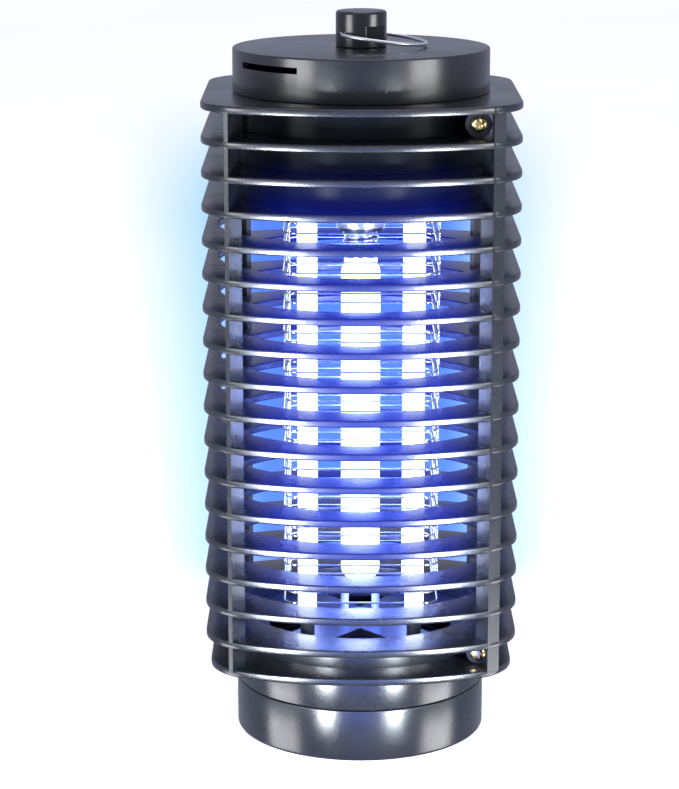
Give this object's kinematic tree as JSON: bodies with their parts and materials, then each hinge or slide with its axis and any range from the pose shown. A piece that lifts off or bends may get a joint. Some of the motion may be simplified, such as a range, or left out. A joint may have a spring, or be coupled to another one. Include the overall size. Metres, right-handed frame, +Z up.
{
  "type": "electric bug zapper",
  "caption": "Upright electric insect killer: black finned housing around an ultraviolet lamp and high-voltage wire grid, with round cap, hanging bail and pull-off tray.",
  "frame": {"origin": "centre of the collection tray's underside, on the surface the zapper stands on", "axes": "+Z up along the lamp's axis, -Y towards the front, where the clamping screws are on the right"},
  "size_m": [0.1012, 0.106, 0.24],
  "materials": {
    "housing": "gloss moulded",
    "hanger": "gloss moulded",
    "bail_wire": "plated",
    "brass_screw": "polished",
    "steel_screw": "zinc plated",
    "rubber": "matte",
    "chassis": "satin moulded",
    "socket": "satin moulded",
    "socket_metal": "plated",
    "lamp_glass": "coated glass, lit",
    "electrode": "bare",
    "lamp_rest": "translucent",
    "insulator": "moulded",
    "grid_wire": "plated",
    "lead": "insulated",
    "board": "solder mask",
    "standoff": "turned",
    "capacitor": "sleeved",
    "ferrite": "sintered",
    "copper": "enamelled copper",
    "diode": "moulded",
    "resistor": "coated",
    "terminal": "moulded",
    "fuse_glass": "clear"
  },
  "bodies": {
    "housing": {"front_shell": "housing", "rear_shell": "housing", "front_open_fins": "housing", "rear_open_fins": "housing", "top_cap": "housing", "base_collar": "housing", "hanger_knob": "hanger", "shell_screws": "brass_screw", "cap_screws": "steel_screw", "hanger_screw": "steel_screw", "board_screws": "steel_screw", "post_screws": "steel_screw", "inlet_bush": "rubber", "chassis_plate": "chassis", "deck_plate": "chassis", "lamp_socket": "socket", "socket_collar": "socket_metal", "socket_contact": "socket_metal", "lamp_contact": "socket_metal", "lamp_base": "socket_metal", "lamp_tube": "lamp_glass", "lamp_electrodes": "electrode", "lamp_rest": "lamp_rest", "grid_post_front_left": "insulator", "grid_post_front_right": "insulator", "grid_post_back_left": "insulator", "grid_post_back_right": "insulator", "grid_live": "grid_wire", "grid_return": "grid_wire", "live_lead": "lead", "return_lead": "lead", "circuit_board": "board", "board_standoffs": "standoff", "boost_capacitors": "capacitor", "choke_core": "ferrite", "choke_coil": "copper", "rectifier_diodes": "diode", "bleed_resistors": "resistor", "terminal_block": "terminal", "glass_fuse": "fuse_glass"},
    "bail": {"hanger_bail": "bail_wire"},
    "tray": {"collection_tray": "housing"}
  },
  "joints": [
    {"name": "bail_swing", "type": "hinge", "parent": "housing", "child": "bail", "pos_m": [-0.0059, 0, 0.2328], "axis": [0, -1, 0], "range_deg": [0, 194]},
    {"name": "tray_pull", "type": "slide", "parent": "housing", "child": "tray", "axis": [0, 0, -1], "range_m": [0, 0.012]}
  ]
}
